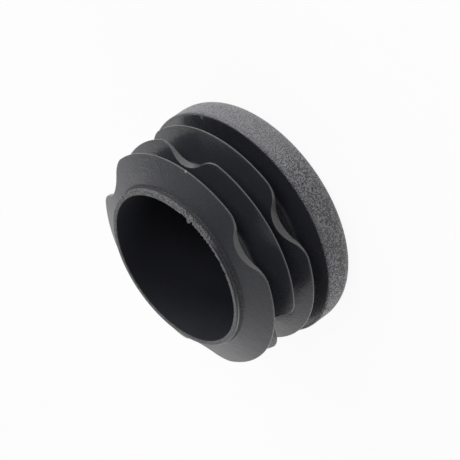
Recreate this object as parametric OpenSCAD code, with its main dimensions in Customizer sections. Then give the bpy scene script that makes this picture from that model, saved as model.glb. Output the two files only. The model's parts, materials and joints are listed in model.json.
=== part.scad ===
// Ribbed end cap for the open end of a round frame tube, moulded in one piece.
// A thick head with a rounded outer edge covers the end of the tube. A hollow stub goes into
// the bore, and its three thin fins bend back against the bore and hold the cap in.
// The cap stands on the outer face of its head, with the mouth of the stub up.

/* [Frame tube] */
// Outside diameter of the frame tube, and of the head that covers its end
tube_d = 40; // [34:0.5:60]
// Wall of the frame tube
tube_wall = 2; // [1:0.1:3]

/* [Head] */
// Height of the head, from its outer face to its seat on the tube
head_h = 6.3; // [5:0.1:10]
// Radius of the head's outer edge
head_edge_r = 3.4; // [0.5:0.1:4]
// Radius of the head's inner edge, beside the seat
seat_edge_r = 0.2; // [0.1:0.05:0.5]
// Thickness of the head under the hollow
floor_t = 3; // [1.5:0.1:4.5]

/* [Stub] */
// Length of the stub, from the head's seat to the mouth
stub_len = 14.3; // [13.6:0.1:22]
// Room between the stub and the bore of the tube
stub_gap = 3.85; // [2.5:0.05:5]
// Wall of the stub at its mouth
stub_wall = 0.95; // [0.7:0.05:1.6]
// Radius of the mouth's outer edge
mouth_edge_r = 0.4; // [0.1:0.05:0.6]
// Draft of the hollow on each side, in degrees
hollow_draft = 0.8; // [0:0.1:1.5]
// Radius between the hollow's side and its floor
hollow_floor_r = 1.2; // [0.5:0.1:2]

/* [Fins] */
// Number of fins along the stub
fin_count = 3; // [1:1:3]
// How far the tip of the fin next to the head stands out past the bore, before it bends
fin_grip = 1.35; // [0.8:0.05:1.9]
// How much less each further fin stands out
fin_grip_step = 0.21; // [0:0.01:0.3]
// Height of the first fin's tip above the seat
fin_start = 3; // [2:0.1:3.5]
// Distance between the tips of neighbouring fins
fin_pitch = 4.15; // [3.6:0.05:4.3]
// Thickness of a fin at its tip
fin_tip_t = 0.22; // [0.15:0.01:0.5]
// Slope of a fin's face on the mouth side, in degrees
fin_front_slope = 22; // [12:1:24]
// Slope of a fin's face on the head side, in degrees
fin_back_slope = 4; // [0:1:6]
// Radius where a fin meets the stub, and where the stub meets the head
root_r = 0.6; // [0.2:0.05:0.8]

/* [Notches] */
// Number of notches round each fin
notch_count = 3; // [2:1:6]
// Width of the web that a notch leaves between its floor and the stub
notch_web = 2.05; // [1:0.05:2.6]
// Radius of a notch's floor
notch_floor_r = 5.15; // [3:0.05:6]
// Radius of a notch's corners
notch_corner_r = 3.9; // [1.5:0.05:4.5]
// Direction of the first fin's first notch, in degrees
notch_turn = -90; // [-180:1:180]

/* [Hidden] */
$fn = 96;
// Steps in the small arc of a root radius, and overlap that joins two solids
arc_steps = 6;
bite = 0.5;
// How far a notch's corner arcs pass the tip, so that the two meet at a crisp line
corner_lift = 0.05;

head_r = tube_d / 2;
bore_r = head_r - tube_wall;
stub_r = bore_r - stub_gap;
mouth_r = stub_r - stub_wall;
mouth_z = head_h + stub_len;
hollow_floor_radius = mouth_r - (mouth_z - floor_t) * tan(hollow_draft);
notch_floor_radius = stub_r + notch_web;

function fin_tip_r(i) = bore_r + fin_grip - i * fin_grip_step;
function fin_tip_z(i) = head_h + fin_start + i * fin_pitch;
// Every second fin is turned by half the spacing of the notches
function fin_turn(i) = notch_turn + (i % 2) * 180 / notch_count;

function polar(r, angle) = [r * cos(angle), r * sin(angle)];
function arc(centre, r, from, to) =
  [for (k = [0:arc_steps]) centre + polar(r, from + (to - from) * k / arc_steps)];

// Half section of the head: a disc with a large radius outside and a small one beside the seat
module head_section() {
  square([head_r - head_edge_r, head_h]);
  translate([0, head_edge_r])
    square([head_r, head_h - head_edge_r - seat_edge_r]);
  translate([0, head_edge_r])
    square([head_r - seat_edge_r, head_h - head_edge_r]);
  // Only the outer lower quarter of the large edge's circle: the rest may be taller than the head
  intersection() {
    translate([head_r - head_edge_r, head_edge_r])
      circle(head_edge_r);
    translate([head_r - head_edge_r, 0])
      square(head_edge_r);
  }
  translate([head_r - seat_edge_r, head_h - seat_edge_r])
    circle(seat_edge_r);
}

// Half section of the stub, with the radius at its foot and the rounded edge of its mouth
module stub_section() {
  translate([0, head_h - bite])
    square([stub_r, stub_len + bite - mouth_edge_r]);
  translate([0, head_h - bite])
    square([stub_r - mouth_edge_r, stub_len + bite]);
  translate([stub_r - mouth_edge_r, mouth_z - mouth_edge_r])
    circle(mouth_edge_r);
  polygon(concat(
    [[stub_r - bite, head_h - bite], [stub_r + root_r, head_h - bite]],
    arc([stub_r + root_r, head_h + root_r], root_r, 270, 180),
    [[stub_r - bite, head_h + root_r]]));
}

// Half section of the hollow: a drafted side, a rounded corner and a flat floor
module hollow_section() {
  corner = [hollow_floor_radius - hollow_floor_r, floor_t + hollow_floor_r];
  polygon(concat(
    [[0, floor_t]],
    arc(corner, hollow_floor_r, 270, 360 - hollow_draft),
    [[mouth_r, mouth_z], [mouth_r, mouth_z + bite], [0, mouth_z + bite]]));
}

// Half section of one fin: thin at the tip, with a sloped face towards the mouth
module fin_section(i) {
  tip_r = fin_tip_r(i);
  tip_z = fin_tip_z(i);
  fillet_r = stub_r + root_r;
  reach = tip_r - fillet_r;
  front = [fillet_r, tip_z + reach * tan(fin_front_slope) + root_r / cos(fin_front_slope)];
  back = [fillet_r, tip_z - fin_tip_t + reach * tan(fin_back_slope) - root_r / cos(fin_back_slope)];
  polygon(concat(
    [[stub_r - bite, front.y]],
    arc(front, root_r, 180, 270 - fin_front_slope),
    [[tip_r, tip_z], [tip_r, tip_z - fin_tip_t]],
    arc(back, root_r, 90 - fin_back_slope, 180),
    [[stub_r - bite, back.y]]));
}

// Outline of one notch, opening along +X: a round floor that runs out through two round corners
module notch_outline(tip_r) {
  floor_x = notch_floor_radius + notch_floor_r;
  corner_x = tip_r - notch_corner_r + corner_lift;
  reach = notch_floor_r + notch_corner_r;
  half = acos((corner_x ^ 2 + floor_x ^ 2 - reach ^ 2) / (2 * corner_x * floor_x));
  floor_centre = [floor_x, 0];
  corner = polar(corner_x, half);
  touch = floor_centre + (corner - floor_centre) * notch_floor_r / reach;
  outside = polar(tip_r + notch_corner_r, half);
  difference() {
    union() {
      translate(floor_centre)
        circle(notch_floor_r);
      for (side = [-1, 1])
        polygon([for (p = [floor_centre, touch, corner, outside]) [p.x, side * p.y]]);
      polygon([floor_centre, outside, [outside.x, -outside.y]]);
    }
    for (side = [-1, 1])
      translate([corner.x, side * corner.y])
        circle(notch_corner_r);
  }
}

// One fin: its section turned about the axis, less its notches
module fin(i) {
  difference() {
    rotate_extrude()
      fin_section(i);
    for (k = [0:notch_count - 1])
      rotate(fin_turn(i) + k * 360 / notch_count)
        translate([0, 0, fin_tip_z(i) - fin_pitch])
          linear_extrude(2 * fin_pitch)
            notch_outline(fin_tip_r(i));
  }
}

// The whole cap
module cap() {
  color([0.09, 0.09, 0.095])
    union() {
      rotate_extrude()
        difference() {
          union() {
            head_section();
            stub_section();
          }
          hollow_section();
        }
      for (i = [0:fin_count - 1])
        fin(i);
    }
}

cap();
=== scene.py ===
"""Looks of the frame hole cap: the moulded piece with its notched fins, its black grained plastic,
a pale floor, soft studio light and the photograph's camera. Lengths are in metres."""
import json
import math

import bpy
from mathutils import Matrix, Vector


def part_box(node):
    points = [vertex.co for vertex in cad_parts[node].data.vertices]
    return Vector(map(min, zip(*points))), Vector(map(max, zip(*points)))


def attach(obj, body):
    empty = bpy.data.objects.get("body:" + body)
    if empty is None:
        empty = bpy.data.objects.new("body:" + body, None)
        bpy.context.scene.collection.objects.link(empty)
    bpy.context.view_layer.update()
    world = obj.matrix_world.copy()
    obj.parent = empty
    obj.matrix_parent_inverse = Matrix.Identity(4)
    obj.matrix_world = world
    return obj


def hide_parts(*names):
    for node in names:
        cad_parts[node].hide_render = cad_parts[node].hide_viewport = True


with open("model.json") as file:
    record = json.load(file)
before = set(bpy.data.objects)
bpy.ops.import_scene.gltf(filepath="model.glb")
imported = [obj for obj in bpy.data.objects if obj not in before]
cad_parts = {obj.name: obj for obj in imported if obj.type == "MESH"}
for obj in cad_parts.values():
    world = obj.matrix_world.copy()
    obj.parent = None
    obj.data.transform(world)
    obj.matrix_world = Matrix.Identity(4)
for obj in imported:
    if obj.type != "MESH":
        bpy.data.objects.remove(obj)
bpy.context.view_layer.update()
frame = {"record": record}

MM = 0.001

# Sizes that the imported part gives
low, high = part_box("cap")
tube_end = next(m for m in frame["record"]["mounts"] if m["name"] == "tube_end")
HEAD_R = (high.x - low.x) / 2
MOUTH_Z = high.z
SEAT_Z = tube_end["pos_m"][2]
BORE_R = tube_end["dims"]["r_mm"] * MM

# Sizes of the head, the stub and its hollow
HEAD_EDGE_R = 3.4 * MM
SEAT_EDGE_R = 0.2 * MM
FLOOR_T = 3 * MM
STUB_R = BORE_R - 3.85 * MM
MOUTH_R = STUB_R - 0.95 * MM
MOUTH_EDGE_R, MOUTH_LIP_R = 0.12 * MM, 0.4 * MM
HOLLOW_DRAFT = math.radians(0.8)
HOLLOW_FLOOR_R = 1.2 * MM
ROOT_R = 0.6 * MM

# Sizes of the fins and their notches; fin 0 is next to the head
FIN_COUNT = 3
FIN_GRIP, FIN_GRIP_STEP = 1.35 * MM, 0.21 * MM
FIN_START, FIN_PITCH = 3 * MM, 4.15 * MM
FIN_TIP_T = 0.22 * MM
FIN_TIP_EDGE_R = 0.06 * MM
FRONT_SLOPE, BACK_SLOPE = math.radians(22), math.radians(4)
NOTCH_COUNT = 3
NOTCH_TURN = math.radians(-90)
NOTCH_FLOOR_RADIUS = STUB_R + 2.05 * MM
NOTCH_FLOOR_R = 5.15 * MM
NOTCH_CORNER_R = 3.9 * MM
NOTCH_CORNER_LIFT = 0.05 * MM

# Mesh: columns round the axis, rows that keep a face flat beside a rounded edge, depths of the rows that
# keep the tear of the mouth out of the hollow, and the distance within which points become one
STEPS_ROUND = 540
EDGE_ROW = 0.1 * MM
HOLLOW_FLOOR_ROW = 1 * MM
TEAR_GUARDS = (0.7 * MM, 0.55 * MM)
MERGE_DISTANCE = 0.002 * MM

# Trimmed mouth: its roughness all round and where it is torn, how deep the tear is for its width, the
# sizes of its teeth, and how much longer they are across the edge than round it
TRIM_DEPTH, TEAR_DEPTH = 0.06 * MM, 1.0 * MM
TEAR_DROP = 1.2
TEETH_OUT, TEETH_DOWN = 0.4 * MM, 0.35 * MM
TEETH_ACROSS = 4
# Share of the tear at the end face's outer side and on the rounded lip
TEAR_OUTER, TEAR_LIP = 0.3, 0.15
# Share of the trimmed finish on the end face away from the scuffed stretch, and of the head's grain on
# the edge of the seat
TRIM_SHARE = 0.6
SEAT_EDGE_GRAIN = 0.6
# Stretches of the mouth and the head: middle and half width in degrees round the axis, then the share of
# the half width before the fade
TORN_STRETCH = (-76, 34, 0.6)
SCUFFED_STRETCH = (-27, 58, 0.75)
# The worn stretch of the head: its grain is flatter there, and painted paler as the side the light falls on
WORN_AND_LIT_STRETCH = (20, 110, 0.7)
# Small faults of the moulding: degrees round the axis, half width in degrees, edge, move outwards, move up
NICKS = (
    (-56.3, 1.4, "torn", -0.9 * MM, -0.1 * MM),
    (-59.0, 0.6, "torn", 0.4 * MM, -0.4 * MM),
    (13.6, 0.7, "mouth_lip", -0.25 * MM, -0.3 * MM),
    (6.7, 0.9, "mouth_lip", -0.2 * MM, -0.3 * MM),
    (33.0, 1.6, "mouth_lip", -0.15 * MM, -0.25 * MM),
    (-16.5, 0.8, "seat_edge", -0.12 * MM, -0.2 * MM),
    (-59.1, 0.6, "seat_edge", -0.12 * MM, -0.2 * MM),
)


class Wire:
    """An output of a node. Arithmetic between wires and numbers adds Math nodes to the tree."""

    def __init__(self, tree, socket):
        self.tree, self.socket = tree, socket

    def out(self, name):
        """Another output of the same node."""
        return Wire(self.tree, pick(self.socket.node.outputs, name))

    def __add__(self, other): return self.tree.math("ADD", self, other)
    def __radd__(self, other): return self.tree.math("ADD", other, self)
    def __sub__(self, other): return self.tree.math("SUBTRACT", self, other)
    def __rsub__(self, other): return self.tree.math("SUBTRACT", other, self)
    def __mul__(self, other): return self.tree.math("MULTIPLY", self, other)
    def __rmul__(self, other): return self.tree.math("MULTIPLY", other, self)
    def __truediv__(self, other): return self.tree.math("DIVIDE", self, other)
    def __rtruediv__(self, other): return self.tree.math("DIVIDE", other, self)
    def __pow__(self, other): return self.tree.math("POWER", self, other)
    def __lt__(self, other): return self.tree.math("LESS_THAN", self, other)
    def __gt__(self, other): return self.tree.math("GREATER_THAN", self, other)
    def __neg__(self): return self.tree.math("MULTIPLY", self, -1)


class Tree:
    """A node tree that is written as calls: every node comes from add()."""

    def __init__(self, nodes):
        self.nodes, self.links = nodes.nodes, nodes.links

    def add(self, kind, settings=None, values=None, output=0):
        """Adds a node, sets its settings, then the values or links of its sockets."""
        node = self.nodes.new(kind)
        for name, value in (settings or {}).items():
            setattr(node, name, value)
        for name, value in (values or {}).items():
            socket = pick(node.inputs, name)
            if isinstance(value, Wire):
                self.links.new(value.socket, socket)
            else:
                socket.default_value = value
        return Wire(self, pick(node.outputs, output)) if node.outputs else node

    def math(self, operation, *values):
        return self.add("ShaderNodeMath", {"operation": operation}, dict(enumerate(values)))

    def mix_colour(self, factor, first, second):
        return self.add("ShaderNodeMix", {"data_type": "RGBA"},
                        {"Factor_Float": factor, "A_Color": first, "B_Color": second}, "Result_Color")

    def smoothstep(self, value, start, end):
        return self.add("ShaderNodeMapRange", {"interpolation_type": "SMOOTHSTEP"},
                        {"Value": value, "From Min": start, "From Max": end})


def pick(sockets, key):
    """A socket by its place, its identifier or its name."""
    if isinstance(key, int):
        return sockets[key]
    named = {s.name: s for s in reversed(sockets) if s.enabled}
    return {**named, **{s.identifier: s for s in sockets}}[key]


def grey(level):
    return (level, level, level, 1)


class Section:
    """Half section of the cap: points (radius, height) in order, from the hollow's floor to the head's
    outer face. Each point carries marks: its fin's tip radius, face slope and notch turn, how much
    of the head's grain it has, how far the tear of the mouth moves it, how much of the trimmed
    finish it has all round and how much where the mouth is scuffed, whether it is in the matt corner
    by the mouth, which is also painted darker as shade, and whether it is on the mouth's outer lip,
    the edge of the seat or the thin edge of a fin, which gets a painted highlight."""

    MARKS = ("tip_r", "slope", "notch_turn", "grain", "torn", "trim", "scuff", "matt",
             "mouth_lip", "seat_edge", "edge")

    def __init__(self, r, z):
        self.points, self.marks = [], {name: [] for name in self.MARKS}
        self.point(r, z)

    def point(self, r, z, **marks):
        self.points.append((r, 0, z))
        for name in self.MARKS:
            self.marks[name].append(marks.get(name, 0.0))

    def line(self, r, z, steps, **marks):
        """A line from the last point. A mark given as a pair changes evenly along it."""
        start_r, _, start_z = self.points[-1]
        pairs = {name: value if isinstance(value, tuple) else (value, value) for name, value in marks.items()}
        for k in range(1, steps + 1):
            share = k / steps
            here = {name: first + (last - first) * share for name, (first, last) in pairs.items()}
            self.point(start_r + (r - start_r) * share, start_z + (z - start_z) * share, **here)

    def arc(self, r, z, radius, start, end, steps, **marks):
        """An arc about (r, z), which begins with a line from the last point."""
        for k in range(steps + 1):
            angle = math.radians(start + (end - start) * k / steps)
            self.point(r + radius * math.cos(angle), z + radius * math.sin(angle), **marks)

    def mesh(self, name):
        """The points as a mesh, with the marks as its attributes."""
        mesh = bpy.data.meshes.new(name)
        mesh.from_pydata(self.points, [], [])
        for mark, values in self.marks.items():
            mesh.attributes.new(mark, "FLOAT", "POINT").data.foreach_set("value", values)
        return mesh


def fin_tip(i):
    """Radius and height of a fin's tip, on its side towards the mouth."""
    return BORE_R + FIN_GRIP - i * FIN_GRIP_STEP, SEAT_Z + FIN_START + i * FIN_PITCH


def draw_fin(section, i):
    """One fin, from the stub above it to the stub below it."""
    tip_r, tip_z = fin_tip(i)
    tip_back = tip_z - FIN_TIP_T
    front, back = math.degrees(FRONT_SLOPE), math.degrees(BACK_SLOPE)
    front_rise, back_rise = math.tan(FRONT_SLOPE), math.tan(BACK_SLOPE)
    root = STUB_R + ROOT_R
    reach = tip_r - root
    turn = NOTCH_TURN + (i % 2) * math.pi / NOTCH_COUNT
    front_marks = dict(tip_r=tip_r, slope=front_rise, notch_turn=turn)
    back_marks = dict(tip_r=tip_r, slope=back_rise, notch_turn=turn)
    front_edge, back_edge = dict(front_marks, edge=1), dict(back_marks, edge=1)
    # Middles of the root's fillets and of the tip's rounded edges
    front_z = tip_z + reach * front_rise + ROOT_R / math.cos(FRONT_SLOPE)
    back_z = tip_back + reach * back_rise - ROOT_R / math.cos(BACK_SLOPE)
    edge_r = tip_r - FIN_TIP_EDGE_R
    edge_front = tip_z + FIN_TIP_EDGE_R * (front_rise - 1 / math.cos(FRONT_SLOPE))
    edge_back = tip_back + FIN_TIP_EDGE_R * (back_rise + 1 / math.cos(BACK_SLOPE))
    face_r, face_reach = edge_r - EDGE_ROW, FIN_TIP_EDGE_R + EDGE_ROW
    by_mouth = int(i == FIN_COUNT - 1)
    # The fin by the mouth has the matt corner at its root, which is painted darker there as shade
    section.line(STUB_R, front_z + EDGE_ROW, 1 + 2 * by_mouth, scuff=by_mouth, matt=by_mouth)
    section.arc(root, front_z, ROOT_R, 180, 220, 4, matt=by_mouth)
    section.arc(root, front_z, ROOT_R, 228, 270 - front, 3)
    section.line(root, tip_z + reach * front_rise, 1, **front_marks)
    section.line(face_r, tip_z + face_reach * front_rise, 5, **front_marks)
    section.arc(edge_r, edge_front, FIN_TIP_EDGE_R, 90 - front, 0, 3, **front_edge)
    section.arc(edge_r, edge_back, FIN_TIP_EDGE_R, 0, -90 - back, 3, **back_edge)
    section.line(face_r, tip_back + face_reach * back_rise, 1, **back_marks)
    section.line(root, tip_back + reach * back_rise, 4, **back_marks)
    section.arc(root, back_z, ROOT_R, 90, 180, 6)


def cap_section():
    """The whole half section."""
    taper = math.tan(HOLLOW_DRAFT)
    draft = math.degrees(HOLLOW_DRAFT)
    floor_r = MOUTH_R - (MOUTH_Z - FLOOR_T) * taper - HOLLOW_FLOOR_R
    lip_r = STUB_R - MOUTH_LIP_R
    section = Section(0, FLOOR_T)
    section.line(floor_r - HOLLOW_FLOOR_ROW, FLOOR_T, 3)
    section.arc(floor_r, FLOOR_T + HOLLOW_FLOOR_R, HOLLOW_FLOOR_R, 270, 360 - draft, 7)
    for depth, steps in zip(TEAR_GUARDS, (6, 1)):
        section.line(MOUTH_R - depth * taper, MOUTH_Z - depth, steps)
    section.line(MOUTH_R, MOUTH_Z - MOUTH_EDGE_R, 3, torn=(0, 1))
    section.arc(MOUTH_R + MOUTH_EDGE_R, MOUTH_Z - MOUTH_EDGE_R, MOUTH_EDGE_R, 165, 90, 3, torn=1, trim=1)
    section.line(lip_r - EDGE_ROW / 2, MOUTH_Z, 3, torn=(1, TEAR_OUTER), trim=1)
    section.arc(lip_r, MOUTH_Z - MOUTH_LIP_R, MOUTH_LIP_R, 90, 0, 6, torn=TEAR_LIP, scuff=1, mouth_lip=1)
    for i in reversed(range(FIN_COUNT)):
        draw_fin(section, i)
    section.arc(STUB_R + ROOT_R, SEAT_Z + ROOT_R, ROOT_R, 180, 270, 5)
    section.line(HEAD_R - 2 * SEAT_EDGE_R, SEAT_Z, 4)
    section.arc(HEAD_R - SEAT_EDGE_R, SEAT_Z - SEAT_EDGE_R, SEAT_EDGE_R, 90, 0, 4,
                grain=SEAT_EDGE_GRAIN, seat_edge=1)
    section.line(HEAD_R, HEAD_EDGE_R + EDGE_ROW, 4, grain=1)
    section.arc(HEAD_R - HEAD_EDGE_R, HEAD_EDGE_R, HEAD_EDGE_R, 0, -90, 16, grain=1)
    section.line(0, 0, 2, grain=1)
    return section


def turning_tree(material):
    """Geometry nodes that turn a section about the axis and cut the notches into its fins, with the
    values of their inputs by identifier."""
    group = bpy.data.node_groups.new("turned section with notched fins", "GeometryNodeTree")
    group.interface.new_socket("Geometry", in_out="OUTPUT", socket_type="NodeSocketGeometry")
    group.interface.new_socket("Section", in_out="INPUT", socket_type="NodeSocketGeometry")
    sizes = {
        "Steps round": ("NodeSocketInt", STEPS_ROUND),
        "Notches in a fin": ("NodeSocketInt", NOTCH_COUNT),
        "Fin root radius": ("NodeSocketFloat", STUB_R + ROOT_R),
        "Notch floor radius": ("NodeSocketFloat", NOTCH_FLOOR_RADIUS),
        "Notch floor arc": ("NodeSocketFloat", NOTCH_FLOOR_R),
        "Notch corner arc": ("NodeSocketFloat", NOTCH_CORNER_R),
        "Notch corner lift": ("NodeSocketFloat", NOTCH_CORNER_LIFT),
    }
    for name, (kind, _) in sizes.items():
        group.interface.new_socket(name, in_out="INPUT", socket_type=kind)
    identifiers = {s.name: s.identifier for s in group.interface.items_tree if s.in_out == "INPUT"}

    tree = Tree(group)
    given = tree.add("NodeGroupInput")
    section = given.out("Section")
    steps, root = given.out("Steps round"), given.out("Fin root radius")
    floor_arc, corner_arc = given.out("Notch floor arc"), given.out("Notch corner arc")

    # A grid with a row for each point of the section and a column for each step round
    rows = tree.add("GeometryNodeAttributeDomainSize", {"component": "MESH"},
                    {"Geometry": section}, "Point Count")
    columns = steps + 1
    grid = tree.add("GeometryNodeMeshGrid", None, {"Vertices X": rows, "Vertices Y": columns}, "Mesh")
    index = tree.add("GeometryNodeInputIndex")
    row = tree.math("FLOOR", (index + 0.5) / columns)
    angle = (index - row * columns) * math.tau / steps

    def sample(value, kind="FLOAT"):
        return tree.add("GeometryNodeSampleIndex", {"data_type": kind},
                        {"Geometry": section, "Value": value, "Index": row})

    def mark(name):
        return sample(tree.add("GeometryNodeInputNamedAttribute", {"data_type": "FLOAT"}, {"Name": name}))

    point = sample(tree.add("GeometryNodeInputPosition"), "FLOAT_VECTOR")
    place = tree.add("ShaderNodeSeparateXYZ", None, {0: point})
    r, z = place.out("X"), place.out("Z")
    tip_r, slope, turn = mark("tip_r"), mark("slope"), mark("notch_turn")

    # Edge of the notched fin at this angle: floor arc, corner arc, then the round tip
    half_spacing = math.pi / given.out("Notches in a fin")
    away = tree.math("ABSOLUTE", tree.math("WRAP", angle - turn, half_spacing, -half_spacing))
    floor_x = given.out("Notch floor radius") + floor_arc
    corner_x = tip_r - corner_arc + given.out("Notch corner lift")
    reach = floor_arc + corner_arc
    half = tree.math("ARCCOSINE", (corner_x ** 2 + floor_x ** 2 - reach ** 2) / (2 * corner_x * floor_x))
    share = floor_arc / reach
    touch = tree.math("ARCTAN2", corner_x * tree.math("SINE", half) * share,
                      floor_x + (corner_x * tree.math("COSINE", half) - floor_x) * share)

    def circle_edge(centre, radius, from_centre, side):
        across = centre * tree.math("SINE", from_centre)
        depth = tree.math("SQRT", tree.math("MAXIMUM", radius ** 2 - across ** 2, 0))
        return centre * tree.math("COSINE", from_centre) + side * depth

    on_floor, in_notch = away < touch, away < half
    notch_r = (on_floor * circle_edge(floor_x, floor_arc, away, -1)
               + (in_notch - on_floor) * circle_edge(corner_x, corner_arc, away - half, 1)
               + (1 - in_notch) * tip_r)
    edge_r = tree.math("MINIMUM", notch_r, tip_r)
    on_fin = tip_r > 0
    fin_r = root + (r - root) * (edge_r - root) / (tip_r - root)
    new_r = on_fin * fin_r + (1 - on_fin) * r
    new_z = z + slope * (r - new_r)

    def from_place(degrees):
        return tree.math("WRAP", angle - math.radians(degrees), math.pi, -math.pi)

    def in_stretch(middle, half_width, full):
        """1 over a stretch round the axis, with a fade to 0 at its ends."""
        return 1 - tree.smoothstep(tree.math("ABSOLUTE", from_place(middle)),
                                   math.radians(half_width * full), math.radians(half_width))

    def teeth(size):
        """Noise about 0 that runs round the mouth."""
        round_mouth = tree.add("ShaderNodeCombineXYZ", None, {
            "X": tree.math("COSINE", angle) * MOUTH_R / size,
            "Y": tree.math("SINE", angle) * MOUTH_R / size,
            "Z": r / size / TEETH_ACROSS})
        return tree.add("ShaderNodeTexNoise", None,
                        {"Vector": round_mouth, "Scale": 1, "Detail": 2, "Roughness": 0.6}, "Fac") - 0.5

    # Trimmed mouth: rough all round, torn over a stretch of its inner edge, then the single faults
    torn = mark("torn")
    depth = TRIM_DEPTH + (TEAR_DEPTH - TRIM_DEPTH) * in_stretch(*TORN_STRETCH)
    new_r += torn * teeth(TEETH_OUT) * depth
    new_z += torn * (tree.math("ABSOLUTE", teeth(TEETH_DOWN)) * -TEAR_DROP * depth)
    for degrees, width, name, out, up in NICKS:
        near = tree.math("EXPONENT", -((from_place(degrees) / math.radians(width)) ** 2))
        new_r += mark(name) * near * out
        new_z += mark(name) * near * up

    scuffed = in_stretch(*SCUFFED_STRETCH)
    # Stored finishes; the matt corner also carries painted shade, and the worn stretch carries painted light
    finishes = {
        "grain": mark("grain"),
        "edge": mark("edge"),
        "trim": mark("trim") * (TRIM_SHARE + (1 - TRIM_SHARE) * scuffed) + mark("scuff") * scuffed,
        "matt": mark("matt"),
        "worn": in_stretch(*WORN_AND_LIT_STRETCH),
    }
    mesh = grid
    for name, value in finishes.items():
        mesh = tree.add("GeometryNodeStoreNamedAttribute", {"data_type": "FLOAT"},
                        {"Geometry": mesh, "Name": name, "Value": value})
    spot = tree.add("ShaderNodeCombineXYZ", None, {
        "X": new_r * tree.math("COSINE", angle), "Y": new_r * tree.math("SINE", angle), "Z": new_z})
    mesh = tree.add("GeometryNodeSetPosition", None, {"Geometry": mesh, "Position": spot})
    mesh = tree.add("GeometryNodeMergeByDistance", None, {"Geometry": mesh, "Distance": MERGE_DISTANCE})
    mesh = tree.add("GeometryNodeSetShadeSmooth", None, {"Geometry": mesh, "Shade Smooth": True})
    mesh = tree.add("GeometryNodeRealizeInstances", None, {"Geometry": mesh})
    mesh = tree.add("GeometryNodeSetMaterial", None, {"Geometry": mesh, "Material": material})
    tree.add("NodeGroupOutput", None, {"Geometry": mesh})
    return group, {identifiers[name]: value for name, (_, value) in sizes.items()}


def make_cap(material):
    """The cap as one closed mesh."""
    section = bpy.data.objects.new("cap_section", cap_section().mesh("cap_section"))
    bpy.context.scene.collection.objects.link(section)
    group, values = turning_tree(material)
    modifier = section.modifiers.new("turn", "NODES")
    modifier.node_group = group
    for identifier, value in values.items():
        modifier[identifier] = value
    shown = section.evaluated_get(bpy.context.evaluated_depsgraph_get())
    mesh = bpy.data.meshes.new_from_object(shown)
    mesh.name = "moulded_cap"
    bpy.data.objects.remove(section)
    cap = bpy.data.objects.new("moulded_cap", mesh)
    bpy.context.scene.collection.objects.link(cap)
    return cap


# Colours and roughness of the plastic's finishes, among them painted shade and painted highlights
SKIN_BLACK = (0.0232, 0.024, 0.0302, 1)
# Painted shade: the darker colour of the matt corner by the mouth
CORNER_SHADE_BLACK = (0.018, 0.018, 0.021, 1)
# The head's grain: darker in its creases as painted shade, paler on its tops as a painted sheen
GRAIN_CREASE_SHADE, GRAIN_TOP_SHEEN = (0.09, 0.09, 0.0966, 1), (0.176, 0.176, 0.1878, 1)
# Painted highlight: the paler grey of the fins' thin edges
EDGE_HIGHLIGHT_GREY = (0.075, 0.075, 0.078, 1)
TRIM_GREY = (0.125, 0.125, 0.128, 1)
SKIN_ROUGH, GRAIN_ROUGH, EDGE_ROUGH, TRIM_ROUGH, CORNER_ROUGH = 0.32, 0.4, 0.25, 0.5, 0.65
MOTTLE_SIZE, MOTTLE_ROUGH = 2.5 * MM, 0.14
PLASTIC_IOR, GLOSS = 1.5, 0.5

# Relief of the plastic: its unit, then sizes of what makes it up and heights in that unit
RELIEF = 0.2 * MM
LEATHER_HEIGHT = 3.2
CREASE_SIZE, CREASE_WIDTH = 0.5 * MM, 0.12
CREASE_BREAK_SIZE, CREASE_BREAKS = 0.4 * MM, (-0.15, 0.1)
PEBBLE_SIZE, PEBBLE_HEIGHT = 0.25 * MM, 0.3
# Flattening of the grain in the worn stretch, then the painted light that makes it paler there
WORN_FLAT, LIT_SIDE_PALE = 0.82, 0.2
FINE_SKIN_SIZE, FINE_SKIN_HEIGHT = 0.35 * MM, 0.15
BROAD_SKIN_SIZE, BROAD_SKIN_HEIGHT = 1.2 * MM, 0.13
SCUFF_SIZE, SCUFF_HEIGHT, SCUFF_PALE = 0.3 * MM, 1.4, (-0.2, 0.15)

# Light specks of the grain, a painted highlight on a fin's edge, then dark spots of painted shade in
# small pits by the mouth: degrees round the axis, radius, height, size and grey
SPECKS = (
    (-51.3, 19.7 * MM, 2.0 * MM, 0.22 * MM, 0.33),
    (-68.3, 20.0 * MM, 5.2 * MM, 0.22 * MM, 0.33),
    (-101.0, 19.75 * MM, 2.2 * MM, 0.22 * MM, 0.33),
    (-41.4, 18.87 * MM, 17.6 * MM, 0.3 * MM, 0.2),
    (21.5, 14.63 * MM, 19.34 * MM, 0.3 * MM, 0.004),
    (7.9, 14.05 * MM, 20.44 * MM, 0.25 * MM, 0.004),
    (28.6, 14.78 * MM, 19.28 * MM, 0.35 * MM, 0.004),
)


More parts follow.
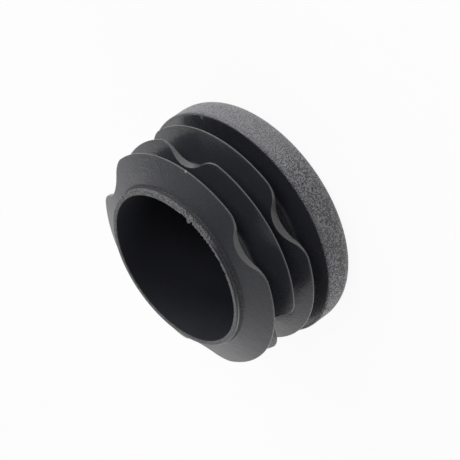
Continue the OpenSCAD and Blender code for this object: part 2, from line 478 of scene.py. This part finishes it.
def black_plastic():
    """Black satin plastic: a leathery grain on the head, with painted shade in its creases and a painted
    sheen on its tops that is paler on the head's lit side, thin edges with a painted highlight, a matt
    corner painted darker as shade, and a rough trimmed mouth, where the cap's marks say so."""
    material = bpy.data.materials.new("black_moulded_plastic")
    material.use_nodes = True
    material.node_tree.nodes.clear()
    tree = Tree(material.node_tree)
    spot = tree.add("ShaderNodeTexCoord", None, None, "Object")

    def mark(name):
        return tree.add("ShaderNodeAttribute", {"attribute_name": name}, None, "Fac")

    def uneven(size, detail, rough=0.5, wavy=0.0):
        """Noise about 0."""
        return tree.add("ShaderNodeTexNoise", None, {
            "Vector": spot, "Scale": 1 / size, "Detail": detail,
            "Roughness": rough, "Distortion": wavy}, "Fac") - 0.5

    grain, edge, trim, matt, worn = (mark(name) for name in ("grain", "edge", "trim", "matt", "worn"))
    corner = matt * (1 - trim)

    # Relief: short broken creases in the grain, a slightly uneven skin, and scuffs
    line = tree.math("ABSOLUTE", uneven(CREASE_SIZE, 1, rough=0.4, wavy=0.6))
    crease = 1 - tree.smoothstep(line, 0, CREASE_WIDTH)
    crease *= tree.smoothstep(uneven(CREASE_BREAK_SIZE, 1, rough=0.4), *CREASE_BREAKS)
    leather = (0.5 - crease + uneven(PEBBLE_SIZE, 1) * PEBBLE_HEIGHT) * (1 - WORN_FLAT * worn)
    skin = uneven(FINE_SKIN_SIZE, 1) * FINE_SKIN_HEIGHT + uneven(BROAD_SKIN_SIZE, 1) * BROAD_SKIN_HEIGHT
    scuff = uneven(SCUFF_SIZE, 3)
    height = grain * leather * LEATHER_HEIGHT + (1 - grain) * skin + (trim + corner) * scuff * SCUFF_HEIGHT
    bump = tree.add("ShaderNodeBump", None, {"Strength": 1.0, "Distance": RELIEF, "Height": height})

    # Grain colour: its creases painted darker as shade, its tops paler as a painted sheen
    grain_shade_and_sheen = tree.mix_colour(leather + 0.5 + LIT_SIDE_PALE * worn, GRAIN_CREASE_SHADE, GRAIN_TOP_SHEEN)
    colour = tree.mix_colour(grain, SKIN_BLACK, grain_shade_and_sheen)
    # Painted shade darkens the matt corner by the mouth
    colour = tree.mix_colour(corner, colour, CORNER_SHADE_BLACK)
    # Painted highlight on the thin edges of the fins
    colour = tree.mix_colour(edge, colour, EDGE_HIGHLIGHT_GREY)
    colour = tree.mix_colour(trim * tree.smoothstep(scuff, *SCUFF_PALE), colour, TRIM_GREY)
    # Specks: light ones on the grain, a painted highlight on a fin's edge, and the painted shade of pits by
    # the mouth
    for degrees, r, z, size, level in SPECKS:
        turn = math.radians(degrees)
        middle = (r * math.cos(turn), r * math.sin(turn), z)
        away = tree.add("ShaderNodeVectorMath", {"operation": "DISTANCE"}, {0: spot, 1: middle}, "Value")
        colour = tree.mix_colour(1 - tree.smoothstep(away, size / 2, size), colour, grey(level))

    roughness = (SKIN_ROUGH + MOTTLE_ROUGH * uneven(MOTTLE_SIZE, 3) + (GRAIN_ROUGH - SKIN_ROUGH) * grain
                 + (EDGE_ROUGH - SKIN_ROUGH) * edge + (TRIM_ROUGH - SKIN_ROUGH) * trim
                 + (CORNER_ROUGH - SKIN_ROUGH) * corner)
    shader = tree.add("ShaderNodeBsdfPrincipled", None, {
        "Base Color": colour, "Roughness": roughness, "Normal": bump,
        "IOR": PLASTIC_IOR, "Specular IOR Level": GLOSS})
    tree.add("ShaderNodeOutputMaterial", None, {"Surface": shader})
    return material


# Floor and room
FLOOR_SIDE, FLOOR_GAP = 4.0, 0.01 * MM
FLOOR_WHITE = 0.9
SHADOW_SHARE = 0.08
ROOM_LIGHT = 0.17

# Three rings of soft panels: climb in degrees, sides of a panel, and radiance by compass direction from +X
PANEL_DISTANCE = 1.0
RINGS = (
    dict(climb=12, wide=0.75, tall=0.42, panels={0: 7.4, 90: 0.9, 135: 1.25, 180: 4.0}),
    dict(climb=36, wide=0.62, tall=0.4, panels={90: 2.0, 135: 1.05, 225: 0.4, 315: 4.8}),
    dict(climb=60, wide=0.42, tall=0.42, panels={45: 0.7, 135: 0.75}),
)

# The photograph's view, found from the cap's circles in it
PHOTO_SIDE = 460
SEAT_PIXEL = (238.30, 223.85)
PIXELS_PER_HEAD_R = 125.36
VIEW_AZIMUTH, VIEW_ELEVATION, VIEW_ROLL = (math.radians(a) for a in (12.7, 30.28, -125.06))
VIEW_DISTANCE = 18.52 * HEAD_R


def seen(tree):
    """1 for a ray that sees the floor straight on, in a gloss or through glass, and 0 for other rays."""
    path = tree.add("ShaderNodeLightPath", None, None, "Is Camera Ray")
    mirrored = tree.math("MAXIMUM", path.out("Is Glossy Ray"), path.out("Is Transmission Ray"))
    return tree.math("MAXIMUM", path, mirrored)


def make_floor():
    """A white floor under the cap. It looks white to the camera and keeps the cap's soft shadow."""
    half = FLOOR_SIDE / 2
    corners = [(-half, -half, 0), (half, -half, 0), (half, half, 0), (-half, half, 0)]
    mesh = bpy.data.meshes.new("floor")
    mesh.from_pydata(corners, [], [(0, 1, 2, 3)])
    floor = bpy.data.objects.new("floor", mesh)
    bpy.context.scene.collection.objects.link(floor)
    floor.location.z = low.z - FLOOR_GAP
    material = bpy.data.materials.new("white_floor")
    material.use_nodes = True
    material.node_tree.nodes.clear()
    tree = Tree(material.node_tree)
    paint = tree.add("ShaderNodeBsdfDiffuse", None, {"Color": grey(FLOOR_WHITE)})
    glow = tree.add("ShaderNodeEmission", None, {"Color": grey(1), "Strength": 1})
    shader = tree.add("ShaderNodeMixShader", None, {0: seen(tree) * (1 - SHADOW_SHARE), 1: paint, 2: glow})
    tree.add("ShaderNodeOutputMaterial", None, {"Surface": shader})
    mesh.materials.append(material)


def make_world():
    """A dim, even room."""
    world = bpy.data.worlds.new("studio")
    bpy.context.scene.world = world
    world.use_nodes = True
    world.node_tree.nodes.clear()
    tree = Tree(world.node_tree)
    room = tree.add("ShaderNodeBackground", None, {"Color": grey(1), "Strength": ROOM_LIGHT})
    tree.add("ShaderNodeOutputWorld", None, {"Surface": room})


def make_lights():
    """Soft panels round the cap, with the least light from the camera's side and from above."""
    aim = Vector((0, 0, MOUTH_Z / 2))
    for ring in RINGS:
        climb = math.radians(ring["climb"])
        across = math.cos(climb)
        for compass, radiance in ring["panels"].items():
            name = f"panel_{ring['climb']}_{compass}"
            lamp = bpy.data.lights.new(name, "AREA")
            lamp.shape = "RECTANGLE"
            lamp.size, lamp.size_y = ring["wide"], ring["tall"]
            lamp.energy = radiance * math.pi * lamp.size * lamp.size_y
            turn = math.radians(compass)
            towards = Vector((math.cos(turn) * across, math.sin(turn) * across, math.sin(climb)))
            panel = bpy.data.objects.new(name, lamp)
            panel.location = aim + towards * PANEL_DISTANCE
            panel.rotation_euler = towards.to_track_quat("Z", "Y").to_euler()
            bpy.context.scene.collection.objects.link(panel)


def make_camera():
    """The photograph's camera, placed so that the middle of the seat falls on its pixel."""
    data = bpy.data.cameras.new("camera")
    camera = bpy.data.objects.new("camera", data)
    bpy.context.scene.collection.objects.link(camera)
    turn = (Matrix.Rotation(VIEW_AZIMUTH, 3, "Z") @ Matrix.Rotation(math.pi / 2 - VIEW_ELEVATION, 3, "X")
            @ Matrix.Rotation(VIEW_ROLL, 3, "Z"))
    pixel = HEAD_R / PIXELS_PER_HEAD_R
    right, down = (place - PHOTO_SIDE / 2 for place in SEAT_PIXEL)
    seat = Vector((right * pixel, -down * pixel, -VIEW_DISTANCE))
    camera.matrix_world = Matrix.Translation(Vector((0, 0, SEAT_Z)) - turn @ seat) @ turn.to_4x4()
    data.lens = data.sensor_width * VIEW_DISTANCE / (PHOTO_SIDE * pixel)
    bpy.context.scene.camera = camera


cap = make_cap(black_plastic())
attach(cap, "root")
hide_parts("cap")
make_floor()
make_world()
make_lights()
make_camera()
bpy.context.scene.view_settings.view_transform = "Standard"
